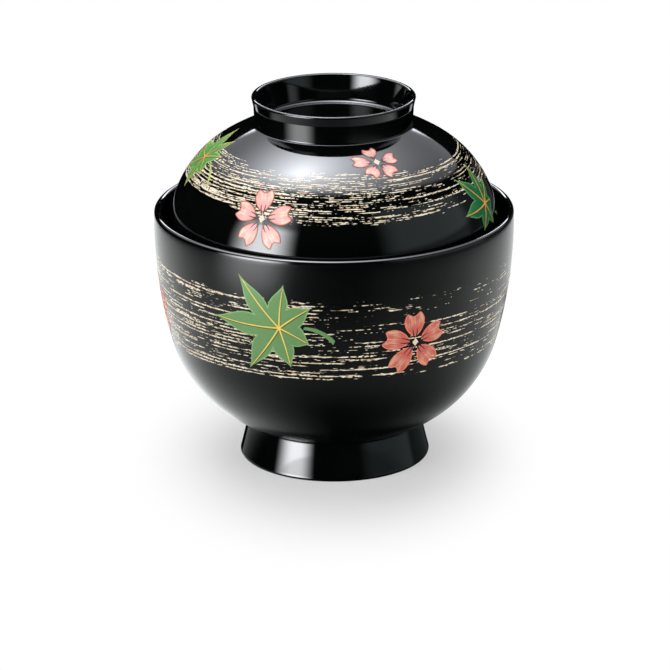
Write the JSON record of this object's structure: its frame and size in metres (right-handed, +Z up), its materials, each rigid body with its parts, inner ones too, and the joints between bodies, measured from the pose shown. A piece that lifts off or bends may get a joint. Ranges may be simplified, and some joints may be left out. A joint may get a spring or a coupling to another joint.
{
  "type": "lidded soup bowl",
  "caption": "Round lacquer soup bowl with a flared foot ring and a domed lift-off lid that drops into its mouth and has a dished grip ring.",
  "frame": {"origin": "middle of the foot ring's lower face, on the table", "axes": "+Z up along the axis that both pieces are turned about; the side with the large leaf faces -Y"},
  "size_m": [0.1, 0.1, 0.1042],
  "materials": {
    "bowl_lacquer": "black lacquer, satin on the side, glossy on the lip, inside and foot ring, with a painted gold brush band, maple leaves and blossoms",
    "lid_lacquer": "glossy black lacquer with a painted gold brush band, maple leaves and blossoms"
  },
  "bodies": {
    "bowl": {"bowl": "bowl_lacquer"},
    "lid": {"lid": "lid_lacquer"}
  },
  "joints": [
    {"name": "lid_lift", "type": "slide", "parent": "bowl", "child": "lid", "axis": [0, 0, 1], "range_m": [0, 0.08]}
  ]
}
